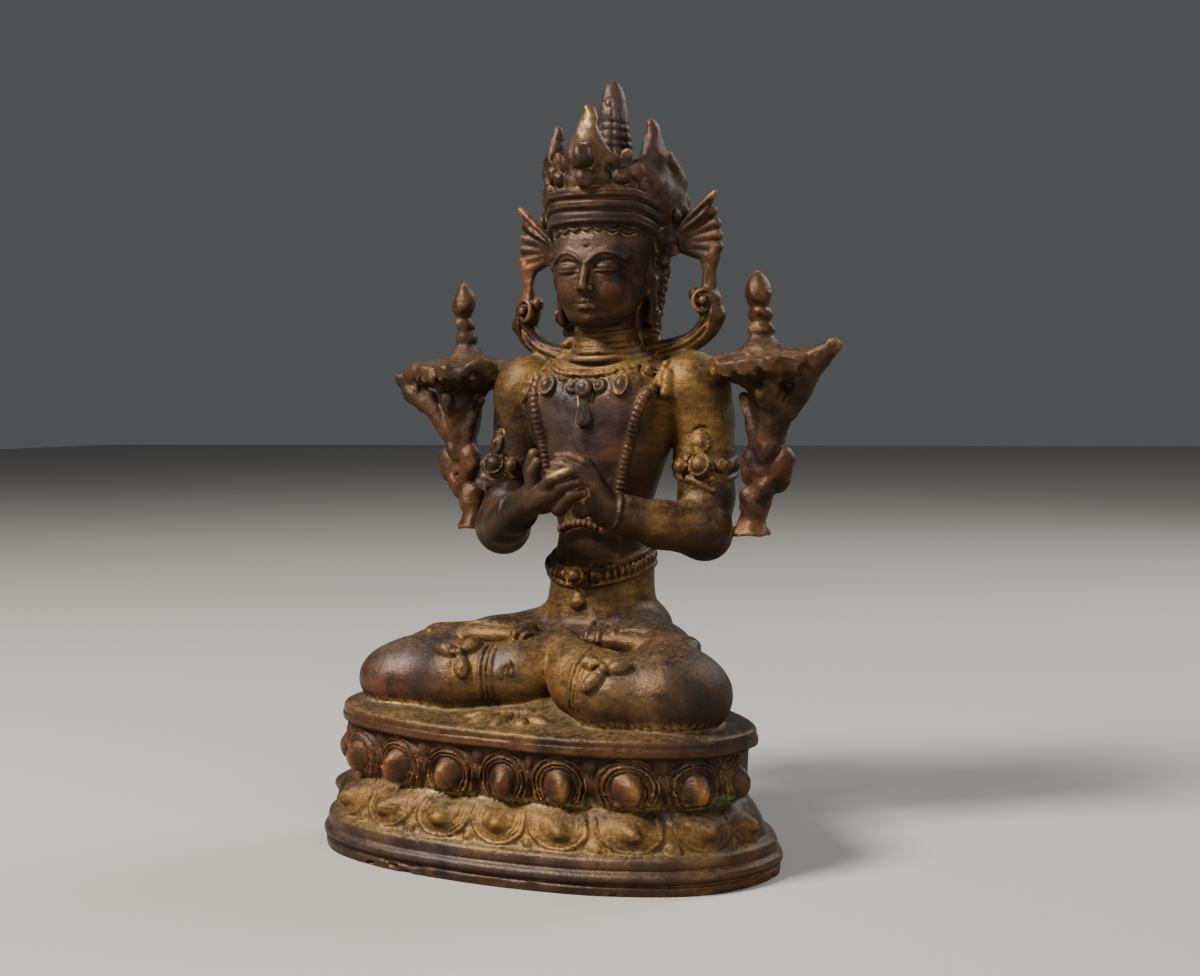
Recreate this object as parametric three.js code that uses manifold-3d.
import * as THREE from 'three';
import { mergeVertices } from 'three/addons/utils/BufferGeometryUtils.js';
import Module from 'manifold-3d';

// Seated crowned figure, cast in one piece with its double lotus base.
// Millimetres, +Z up. The figure faces -Y and its left side is +X.
// The origin is the middle of the flat underside.

// Overall sizes
const TOTAL_HEIGHT = 178;
const FIGURE_AXIS_Y = 20;

// Base: a wide curved front that meets a narrower, plain back at a corner near each end
const BASE_HALF_WIDTH = 56.1;
const BASE_FRONT_DEPTH = 34.5;
const BASE_BACK_DEPTH = 42;
const BASE_WIDEST_Y = -4;
const FRONT_SQUARENESS = 2.4;
const BACK_SQUARENESS = 1.5;
const BASE_SIDES = 36;
const SEAT_Z = 33.2;
const SEAT_DROP = 2.2;

// Lotus petals round the front of the base, each at its share of the way from the right end to the left
const PETAL_SHARES = [0.079, 0.19, 0.299, 0.42, 0.535, 0.643, 0.762, 0.873, 0.967];
const UPPER_PETAL = { z: 23.4, inset: 8.4, width: 7.0, depth: 3.1, height: 5.6 };
const UPPER_BOSS = { z: 23.2, inset: 6.7, width: 3.3, depth: 2.7, height: 3.8 };
const LOWER_PETAL = { z: 12.9, inset: 6.2, width: 7.2, depth: 3.2, height: 4.0 };
const LOWER_BOSS = { z: 13.3, inset: 4.6, width: 2.9, depth: 2.3, height: 2.5 };
const PETAL_FACETS = [8, 4];
const BOSS_FACETS = [6, 3];

// Legs folded in the full lotus
const THIGH = [
  { at: [7, 3, 45], radius: 9.4 },
  { at: [21, -13, 42], radius: 9.2 },
  { at: [33, -27, 39.4], radius: 8.5 },
];
const KNEE = { centre: [34.9, -29.9, 38.6], size: [11.4, 12.2, 8.8] };
const SHIN = [
  { at: [32, -32.8, 38.5], radius: 8.7 },
  { at: [19, -35.4, 39.4], radius: 8.2 },
  { at: [4, -31, 41.5], radius: 6.8 },
];
const LEG_LEAN_DEGREES = 1.1;
const LEG_SHIFT = [-0.8, 0, -0.6];
const LAP = { centre: [0, -13, 37], size: [38.5, 26, 9.6] };
const FOOT = [
  { at: [10, -19.6, 46.8], radius: 3.9 },
  { at: [20.5, -19, 46.6], radius: 4 },
  { at: [32, -18, 45.2], radius: 3.4 },
];

// Neck and head
const HEAD_TURN_DEGREES = 8;
const HEAD_SHIFT = 1.4;
const NECK_RADIUS = 7;
const HEAD_Y = 3;
const FACE = { centre: [0, -0.6, 131.4], size: [10.9, 11.4, 13.2] };
const SKULL = { centre: [0, HEAD_Y + 0.6, 138.2], size: [12.9, 13.3, 12.6] };
const NOSE = { centre: [0, -12.1, 130.2], size: [1.7, 1.9, 3.6] };
const CHIN = { centre: [0, -6.4, 120.9], size: [4.4, 3.4, 2.9] };
const HAIR = { centre: [0, 7.2, 144.2], size: [15.8, 9.4, 9.2] };
const BAND_RADIUS = 13.9;
const BAND_BOTTOM_Z = 142.6;
const BAND_STEP = 2.7;
const BAND_COUNT = 3;
const CROWN_WALL_TOP_Z = 158.4;
const LEAF_FLATNESS = 0.56;
const LEAF_SIDES = 6;
const CHIGNON_RADIUS = 4.4;
const CHIGNON_Y = 9.3;

// Crown leaves: turn from the front, radius and height of the foot, height of the tip, half width at the foot
const CROWN_LEAVES = [
  { turn: 0, radius: 12.4, foot: 149.5, tip: 169.8, width: 5.6 },
  { turn: 86, radius: 12.4, foot: 149.5, tip: 166.6, width: 5.8 },
  { turn: -86, radius: 12.4, foot: 149.5, tip: 166.6, width: 5.8 },
  { turn: 116, radius: 16.4, foot: 143.5, tip: 159.6, width: 5 },
  { turn: -116, radius: 16.4, foot: 143.5, tip: 159.6, width: 5 },
];

// Ribbons that flare beside the ears and loop down to the shoulders
const RIBBON_Y = 8.6;
const RIBBON_THICKNESS = 4.2;
const RIBBON_FAN_HEIGHT = [133.4, 148.8];
const RIBBON_ROOT_X = 13.5;
const RIBBON_ROOT_Z = 137.6;
const RIBBON_EDGE_X = 26.4;
const RIBBON_PATH = [
  { at: [25.2, 8.4, 135], radius: 2.4 },
  { at: [24.6, 8.2, 129.6], radius: 1.7 },
  { at: [24.8, 8, 123.6], radius: 3.4 },
  { at: [21.4, 7.6, 117.4], radius: 2.6 },
  { at: [13, 6.5, 112.6], radius: 2.6 },
];
const EAR = { centre: [12.6, 3.4, 128.6], size: [2.2, 3, 9.2] };
const SIDE_LOCK = [
  { at: [12.4, 5.6, 132], radius: 2.6 },
  { at: [10.6, 5.2, 112], radius: 2.6 },
];

// Arms
const SHOULDER = { centre: [22.6, 6, 103.6], size: [8.6, 8.4, 8] };
const ARM = [
  { at: [21.5, 6, 105], radius: 7.6 },
  { at: [24.2, 7, 97], radius: 7.3 },
  { at: [25.4, 5.6, 86], radius: 6.8 },
  { at: [26.8, 3, 76.5], radius: 6.3 },
  { at: [26.8, -1, 70.9], radius: 6.9 },
  { at: [20.5, -8.5, 73], radius: 5.4 },
  { at: [12.2, -16.4, 76], radius: 4 },
  { at: [5.6, -20.6, 80], radius: 4 },
];
const ARMLET = { centre: [25.4, 5.4, 86], radius: 7.5, height: 4.6 };
const ARMLET_BOSS = { centre: [28.6, -1.2, 87.4], size: [2.9, 2.4, 3.4] };

// Hands held together before the chest
const PALM_SIZE = [4.4, 5.4, 6.4];
const RIGHT_PALM = [-4.4, -23, 82];
const LEFT_PALM = [5.2, -20.6, 81.6];
const FINGERS = [
  { from: [-5.8, -23, 84], to: [-3.4, -24, 90.4], radius: 1.7 },
  { from: [-3, -25.6, 80.5], to: [5.2, -27.4, 87.4], radius: 2.3 },
  { from: [6.4, -19.6, 84.6], to: [2, -18.8, 90.4], radius: 2 },
  { from: [2, -18.8, 90.4], to: [-2, -20.4, 90], radius: 1.7 },
];

// Lotus flowers on stems at the shoulders
const LOTUS_AXIS = [40, 6];
const LOTUS_SIDES = 9;
const STEM = [
  { at: [42, 6, 100], radius: 5.2 },
  { at: [41.6, 5.7, 94], radius: 4.2 },
  { at: [40.6, 5, 86], radius: 4.4 },
  { at: [39.2, 4.8, 80], radius: 3.4 },
  { at: [37.8, 4.5, 75.8], radius: 2.6 },
  { at: [37.3, 4.4, 73.6], radius: 3.8 },
];
const STEM_BULB = { centre: [44.6, 5.2, 85.2], size: [3.6, 3.4, 4.8] };
const OUTER_PETAL_ROOT = [49, 5.6, 109.6];
const LEFT_PETAL_TIP = [57.8, 5.6, 113];
const RIGHT_PETAL_TIP = [-58.8, 5.6, 108];
const PETAL_RADII = [3.6, 2.4];

// Facets round a limb, a thin strand and a rounded lump
const LIMB_SIDES = 8;
const STRAND_SIDES = 6;
const TRUNK_SIDES = 14;
const LUMP_SIDES = 8;
const LUMP_RINGS = 6;
const ROUND_SIDES = 12;
const ROUND_RINGS = 8;
const CAP_REACH = 0.68;
const CAP_WIDTH = 0.73;

const wasm = await Module();
wasm.setup();

// A three.js geometry as a closed solid
function solid(geometry) {
  const bare = geometry.clone();
  bare.deleteAttribute('normal');
  bare.deleteAttribute('uv');
  const welded = mergeVertices(bare, 1e-4);
  return new wasm.Manifold(new wasm.Mesh({
    numProp: 3,
    vertProperties: new Float32Array(welded.attributes.position.array),
    triVerts: new Uint32Array(welded.index.array),
  }));
}

// A profile of [radius, height] turned about the upright axis
function turned(profile, sides) {
  const points = profile.map(([radius, height]) => new THREE.Vector2(radius, height));
  const geometry = new THREE.LatheGeometry(points, sides);
  geometry.rotateX(Math.PI / 2);
  return geometry;
}

// A round lump with three half sizes
function lump(centre, size, sides = LUMP_SIDES, rings = LUMP_RINGS) {
  const geometry = new THREE.SphereGeometry(1, sides, rings);
  geometry.rotateX(Math.PI / 2);
  geometry.scale(size[0], size[1], size[2]);
  geometry.translate(centre[0], centre[1], centre[2]);
  return solid(geometry);
}

// A strand with rounded ends through a path of points, each with its radius
function strand(path, sides = STRAND_SIDES) {
  const points = path.map((stop) => new THREE.Vector3(...stop.at));
  const last = points.length - 1;
  const tangents = points.map((point, i) => {
    const before = points[Math.max(0, i - 1)];
    const after = points[Math.min(last, i + 1)];
    return after.clone().sub(before).normalize();
  });
  const stops = points.map((point, i) => ({ point, tangent: tangents[i], radius: path[i].radius }));
  const capped = (stop, along) => ({
    point: stop.point.clone().addScaledVector(stop.tangent, along * stop.radius * CAP_REACH),
    tangent: stop.tangent,
    radius: stop.radius * CAP_WIDTH,
  });
  const rings = [capped(stops[0], -1), ...stops, capped(stops[last], 1)];
  const profile = [[0, 0], ...rings.map((ring, i) => [i + 1, i + 1]), [0, rings.length + 1]];
  const geometry = turned(profile, sides);
  const position = geometry.attributes.position;
  const overall = points[last].clone().sub(points[0]).normalize();
  const reference = Math.abs(overall.y) > 0.8 ? new THREE.Vector3(1, 0, 0) : new THREE.Vector3(0, 1, 0);
  for (let i = 0; i < position.count; i += 1) {
    const number = Math.round(Math.hypot(position.getX(i), position.getY(i)));
    const turn = Math.atan2(position.getY(i), position.getX(i));
    const atStart = position.getZ(i) < 0.5;
    const end = atStart ? stops[0] : stops[last];
    const pole = end.point.clone().addScaledVector(end.tangent, (atStart ? -1 : 1) * end.radius);
    const ring = number === 0 ? { point: pole, tangent: end.tangent, radius: 0 } : rings[number - 1];
    const across = reference.clone().cross(ring.tangent).normalize();
    const up = ring.tangent.clone().cross(across);
    const place = ring.point.clone()
      .addScaledVector(across, ring.radius * Math.cos(turn))
      .addScaledVector(up, ring.radius * Math.sin(turn));
    position.setXYZ(i, place.x, place.y, place.z);
  }
  return solid(geometry);
}

// The same solid on both sides of the figure
function mirrored(pieces) {
  return pieces.concat(pieces.map((piece) => piece.mirror([1, 0, 0])));
}

function joined(pieces) {
  return pieces.reduce((whole, piece) => whole.add(piece));
}

// A point of the base outline, drawn in by an inset; turn 0 is +X and -90 degrees is the front
function baseOutline(turn, inset) {
  const front = Math.sin(turn) < 0;
  const squareness = front ? FRONT_SQUARENESS : BACK_SQUARENESS;
  const depth = (front ? BASE_FRONT_DEPTH : BASE_BACK_DEPTH) - inset;
  const along = Math.sign(Math.cos(turn)) * Math.abs(Math.cos(turn)) ** (2 / squareness);
  const across = Math.sign(Math.sin(turn)) * Math.abs(Math.sin(turn)) ** (2 / squareness);
  return [(BASE_HALF_WIDTH - inset) * along, BASE_WIDEST_Y + depth * across];
}

// Foot rim, mouldings, waist, top plate and seat as [inset, height] from the underside up
const BASE_PROFILE = [
  [0.9, 0],
  [0.5, 2.1],
  [0.2, 3],
  [0.4, 4.8],
  [1.5, 5.6],
  [1.9, 8.2],
  [3.4, 9],
  [5, 13.6],
  [7.9, 17.4],
  [7.2, 28.4],
  [5.1, 29.4],
  [5.1, 31.4],
  [6.2, SEAT_Z],
  [14, SEAT_Z + 0.8],
];

// The seat and petals stand a little lower towards the figure's left, as on the hand-made original
function leaned(geometry) {
  const position = geometry.attributes.position;
  for (let i = 0; i < position.count; i += 1) {
    const share = (1 + position.getX(i) / BASE_HALF_WIDTH) / 2;
    position.setZ(i, position.getZ(i) * (1 - (share * SEAT_DROP) / SEAT_Z));
  }
  return geometry;
}

function baseBody() {
  const steps = BASE_PROFILE.map(([inset, height], i) => [i + 1, height]);
  const profile = [[0, 0], ...steps, [0, BASE_PROFILE.at(-1)[1] + 0.8]];
  const geometry = turned(profile, BASE_SIDES);
  const position = geometry.attributes.position;
  for (let i = 0; i < position.count; i += 1) {
    const ring = Math.round(Math.hypot(position.getX(i), position.getY(i)));
    if (ring === 0) {
      position.setXY(i, 0, 0);
      continue;
    }
    const turn = Math.atan2(position.getY(i), position.getX(i));
    const [x, y] = baseOutline(turn, BASE_PROFILE[ring - 1][0]);
    position.setXY(i, x, y);
  }
  return solid(leaned(geometry));
}

// Places of the petals along the front of the outline, with the direction each one faces
function petalPlaces(inset) {
  const samples = Array.from({ length: 721 }, (_, i) => -Math.PI + (Math.PI * i) / 720)
    .map((turn) => baseOutline(turn, inset));
  const lengths = [0];
  for (let i = 1; i < samples.length; i += 1) {
    lengths.push(lengths[i - 1] + Math.hypot(
      samples[i][0] - samples[i - 1][0],
      samples[i][1] - samples[i - 1][1],
    ));
  }
  const total = lengths.at(-1);
  return PETAL_SHARES.map((share) => {
    const wanted = total * share;
    const k = Math.min(samples.length - 2, Math.max(1, lengths.findIndex((length) => length >= wanted)));
    const [dx, dy] = [samples[k + 1][0] - samples[k - 1][0], samples[k + 1][1] - samples[k - 1][1]];
    return { x: samples[k][0], y: samples[k][1], facing: Math.atan2(dy, dx) };
  });
}

function petalRow(petal, [sides, rings]) {
  return petalPlaces(petal.inset).map((place) => {
    const geometry = new THREE.SphereGeometry(1, sides, rings);
    geometry.rotateX(Math.PI / 2);
    geometry.scale(petal.width, petal.depth, petal.height);
    geometry.rotateZ(place.facing);
    geometry.translate(place.x, place.y, petal.z);
    return solid(leaned(geometry));
  });
}

// Trunk as rings of [height, half width, half depth, distance of the middle behind the axis]
const TRUNK_RINGS = [
  [32, 20, 16, 0],
  [46, 17.2, 13.4, 0.3],
  [54, 13.3, 11.7, 1],
  [62.5, 12.9, 11, 1.6],
  [66, 11.5, 9.9, 2],
  [70, 10.8, 9.4, 2.2],
  [77, 12.1, 9.6, 2.4],
  [87, 15.8, 10.8, 2.8],
  [96, 19.4, 12, 3.4],
  [102.5, 21.3, 12, 4],
  [107.5, 19.4, 10.8, 4.6],
  [111, 14, 9.4, 4.4],
  [113, 9.2, 8.4, 4],
  [115, NECK_RADIUS, NECK_RADIUS, 3.4],
  [124, NECK_RADIUS, NECK_RADIUS, 3],
];

function trunk() {
  const rings = TRUNK_RINGS;
  const profile = [[0, rings[0][0]], ...rings.map((ring, i) => [i + 1, ring[0]]), [0, rings.at(-1)[0]]];
  const geometry = turned(profile, TRUNK_SIDES);
  const position = geometry.attributes.position;
  for (let i = 0; i < position.count; i += 1) {
    const ring = Math.round(Math.hypot(position.getX(i), position.getY(i)));
    if (ring === 0) continue;
    const turn = Math.atan2(position.getY(i), position.getX(i));
    const [, halfWidth, halfDepth, middle] = rings[ring - 1];
    position.setXY(i, halfWidth * Math.cos(turn), middle + halfDepth * Math.sin(turn));
  }
  return solid(geometry);
}

function legs() {
  const oneSide = [
    strand(THIGH, LIMB_SIDES),
    lump(KNEE.centre, KNEE.size, ROUND_SIDES, ROUND_RINGS),
    strand(SHIN, LIMB_SIDES),
    strand(FOOT),
  ];
  return [...mirrored(oneSide), lump(LAP.centre, LAP.size, ROUND_SIDES, ROUND_RINGS)]
    .map((piece) => piece.rotate([0, LEG_LEAN_DEGREES, 0]).translate(LEG_SHIFT));
}

function arms() {
  const half = ARMLET.height / 2;
  const armlet = turned([
    [0, -half],
    [ARMLET.radius - 0.7, -half],
    [ARMLET.radius, 0],
    [ARMLET.radius - 0.7, half],
    [0, half],
  ], LIMB_SIDES);
  armlet.translate(...ARMLET.centre);
  return mirrored([
    strand(ARM, LIMB_SIDES),
    lump(SHOULDER.centre, SHOULDER.size),
    solid(armlet),
    lump(ARMLET_BOSS.centre, ARMLET_BOSS.size),
  ]);
}

function hands() {
  return [
    lump(RIGHT_PALM, PALM_SIZE),
    lump(LEFT_PALM, PALM_SIZE),
    ...FINGERS.map(({ from, to, radius }) => strand([{ at: from, radius }, { at: to, radius }])),
  ];
}

// Three stepped rings round the brow
function headband() {
  const steps = [[0, 0]];
  for (let i = 0; i < BAND_COUNT; i += 1) {
    steps.push([BAND_RADIUS, i * BAND_STEP]);
    steps.push([BAND_RADIUS, i * BAND_STEP + BAND_STEP * 0.7]);
    steps.push([BAND_RADIUS - 0.6, (i + 1) * BAND_STEP - BAND_STEP * 0.15]);
  }
  steps.push([0, BAND_COUNT * BAND_STEP]);
  const geometry = turned(steps, TRUNK_SIDES);
  geometry.translate(0, HEAD_Y, BAND_BOTTOM_Z);
  return solid(geometry);
}

function crownLeaf(leaf) {
  const height = leaf.tip - leaf.foot;
  const geometry = turned([
    [0, 0],
    [leaf.width, 0],
    [leaf.width, height * 0.3],
    [leaf.width * 0.5, height * 0.58],
    [leaf.width * 0.34, height * 0.9],
    [leaf.width * 0.16, height],
    [0, height],
  ], LEAF_SIDES);
  const turn = THREE.MathUtils.degToRad(leaf.turn);
  geometry.scale(1, LEAF_FLATNESS, 1);
  geometry.translate(0, -leaf.radius, leaf.foot);
  geometry.rotateZ(turn);
  geometry.translate(0, HEAD_Y, 0);
  return solid(geometry);
}

function chignon() {
  const foot = CROWN_WALL_TOP_Z - 8;
  const height = TOTAL_HEIGHT - foot;
  const geometry = turned([
    [0, 0],
    [CHIGNON_RADIUS, 0],
    [CHIGNON_RADIUS, height * 0.3],
    [CHIGNON_RADIUS * 0.9, height * 0.58],
    [CHIGNON_RADIUS * 0.66, height * 0.82],
    [CHIGNON_RADIUS * 0.34, height * 0.96],
    [0, height],
  ], LIMB_SIDES);
  geometry.translate(0, CHIGNON_Y, foot);
  return solid(geometry);
}

function crownWall() {
  const foot = BAND_BOTTOM_Z + BAND_COUNT * BAND_STEP - 1;
  const geometry = turned([
    [0, foot],
    [BAND_RADIUS - 0.6, foot],
    [BAND_RADIUS - 0.2, CROWN_WALL_TOP_Z - 1.6],
    [BAND_RADIUS - 2.4, CROWN_WALL_TOP_Z],
    [0, CROWN_WALL_TOP_Z],
  ], TRUNK_SIDES);
  geometry.translate(0, HEAD_Y, 0);
  return solid(geometry);
}

// The head and crown turn a little towards the figure's left; the knot of hair stays upright on the axis
function head() {
  const facingForward = [
    ...[FACE, SKULL].map((part) => lump(part.centre, part.size, ROUND_SIDES, ROUND_RINGS)),
    ...[HAIR, NOSE, CHIN].map((part) => lump(part.centre, part.size)),
    headband(),
    crownWall(),
    ...CROWN_LEAVES.map(crownLeaf),
  ];
  const turnedHead = facingForward.map((piece) => piece
    .translate([0, -HEAD_Y, 0])
    .rotate([0, 0, HEAD_TURN_DEGREES])
    .translate([HEAD_SHIFT, HEAD_Y, 0]));
  return [...turnedHead, chignon()];
}

// A pleated bow beside each ear, cut as a flat plate with an upward point
function ribbons() {
  const [low, high] = RIBBON_FAN_HEIGHT;
  const outline = new THREE.Shape();
  outline.moveTo(RIBBON_ROOT_X, RIBBON_ROOT_Z - 2.4);
  outline.lineTo(RIBBON_EDGE_X - 3.2, low);
  outline.lineTo(RIBBON_EDGE_X, low + 0.6);
  outline.lineTo(RIBBON_EDGE_X + 0.9, (low + high) / 2);
  outline.lineTo(RIBBON_EDGE_X + 0.4, high);
  outline.lineTo(RIBBON_EDGE_X - 1.4, high);
  outline.lineTo(RIBBON_EDGE_X - 6, RIBBON_ROOT_Z + 3.8);
  outline.lineTo(RIBBON_ROOT_X, RIBBON_ROOT_Z + 2.4);
  const plate = new THREE.ExtrudeGeometry(outline, { depth: RIBBON_THICKNESS, bevelEnabled: false });
  plate.rotateX(Math.PI / 2);
  plate.translate(0, RIBBON_Y + RIBBON_THICKNESS / 2, 0);
  return mirrored([
    solid(plate),
    strand(RIBBON_PATH),
    lump(EAR.centre, EAR.size),
    strand(SIDE_LOCK),
  ]);
}

// Cup, flat flower and ribbed bud of a shoulder lotus as [radius, height]
const LOTUS_PROFILE = [
  [0, 97],
  [3.4, 97],
  [5.8, 102.5],
  [9, 106.4],
  [11.8, 107.6],
  [12.2, 109.6],
  [9.6, 111.4],
  [4.4, 113.4],
  [2.4, 115.8],
  [2.8, 117.6],
  [2.2, 122.6],
  [2.8, 125.2],
  [1.5, 129.4],
  [0, 131.2],
];

function shoulderLotuses() {
  const flower = turned(LOTUS_PROFILE, LOTUS_SIDES);
  flower.translate(LOTUS_AXIS[0], LOTUS_AXIS[1], 0);
  const petal = (root, tip) => strand([
    { at: root, radius: PETAL_RADII[0] },
    { at: tip, radius: PETAL_RADII[1] },
  ]);
  const [rootX, rootY, rootZ] = OUTER_PETAL_ROOT;
  return [
    ...mirrored([solid(flower), strand(STEM), lump(STEM_BULB.centre, STEM_BULB.size)]),
    petal(OUTER_PETAL_ROOT, LEFT_PETAL_TIP),
    petal([-rootX, rootY, rootZ], RIGHT_PETAL_TIP),
  ];
}

const figure = joined([
  trunk(),
  ...legs(),
  ...arms(),
  ...hands(),
  ...head(),
  ...ribbons(),
  ...shoulderLotuses(),
]).translate([0, FIGURE_AXIS_Y, 0]);

const base = joined([
  baseBody(),
  ...petalRow(UPPER_PETAL, PETAL_FACETS),
  ...petalRow(UPPER_BOSS, BOSS_FACETS),
  ...petalRow(LOWER_PETAL, PETAL_FACETS),
  ...petalRow(LOWER_BOSS, BOSS_FACETS),
]);

// A solid as a three.js mesh with flat facets
function meshOf(whole, name, material) {
  const result = whole.getMesh();
  const geometry = new THREE.BufferGeometry();
  const points = new Float32Array(result.numVert * 3);
  for (let i = 0; i < result.numVert; i += 1) {
    for (let k = 0; k < 3; k += 1) {
      points[i * 3 + k] = result.vertProperties[i * result.numProp + k];
    }
  }
  geometry.setAttribute('position', new THREE.BufferAttribute(points, 3));
  geometry.setIndex(new THREE.BufferAttribute(new Uint32Array(result.triVerts), 1));
  const mesh = new THREE.Mesh(geometry, material);
  mesh.name = name;
  return mesh;
}

const agedCopperAlloy = new THREE.MeshStandardMaterial({
  name: 'aged_copper_alloy',
  color: 0x5a4128,
  metalness: 0.75,
  roughness: 0.5,
});

const group = new THREE.Group();
group.name = 'seated_figure_on_double_lotus_base';
group.add(meshOf(base.add(figure), 'seated_figure_on_lotus_base', agedCopperAlloy));

export default group;
